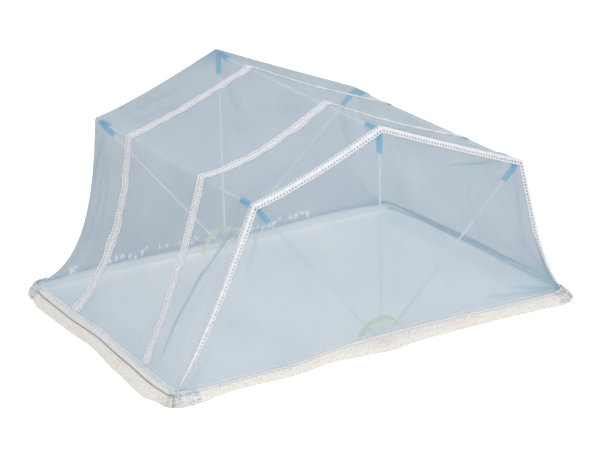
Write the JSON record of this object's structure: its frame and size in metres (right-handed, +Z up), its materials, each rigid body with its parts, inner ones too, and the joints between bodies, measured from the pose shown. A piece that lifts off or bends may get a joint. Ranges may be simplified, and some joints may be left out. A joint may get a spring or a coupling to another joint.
{
  "type": "crib tent net on a folding rod frame",
  "caption": "Sheer net tent on a fan of thin rod bows, open underneath, with lace tapes over its seams and a padded band round its base, to stand over a baby's mattress.",
  "frame": {"origin": "middle of the tent's base, on the floor", "axes": "+X along the length, from the taller left bow's side to the lower right bow's side; -Y is the near side with the seam tape; +Z up"},
  "size_m": [1.0738, 0.778, 0.5065],
  "materials": {
    "net": "sheer knitted net",
    "lace": "cotton lace",
    "base_band": "padded brushed cloth",
    "hinge_case": "satin",
    "rod": "satin",
    "sleeve": "glossy tube"
  },
  "bodies": {
    "root": {"net_top": "net", "net_side_near": "net", "net_side_far": "net", "lace_tape_seam": "lace", "lace_tape_near": "lace", "lace_tape_far": "lace", "hem_lace_left": "lace", "hem_lace_right": "lace", "hem_lace_near": "lace", "hem_lace_far": "lace", "base_band_near": "base_band", "base_band_right": "base_band", "base_band_far": "base_band", "base_band_left": "base_band", "hinge_case_near": "hinge_case", "hinge_case_far": "hinge_case", "leg_left_near": "rod", "leg_left_far": "rod", "leg_middle_near": "rod", "leg_middle_far": "rod", "leg_right_near": "rod", "leg_right_far": "rod", "bar_left": "rod", "bar_middle": "rod", "bar_right": "rod", "sleeve_left_near": "sleeve", "sleeve_left_far": "sleeve", "sleeve_middle_near": "sleeve", "sleeve_middle_far": "sleeve", "sleeve_right_near": "sleeve", "sleeve_right_far": "sleeve"}
  },
  "joints": []
}
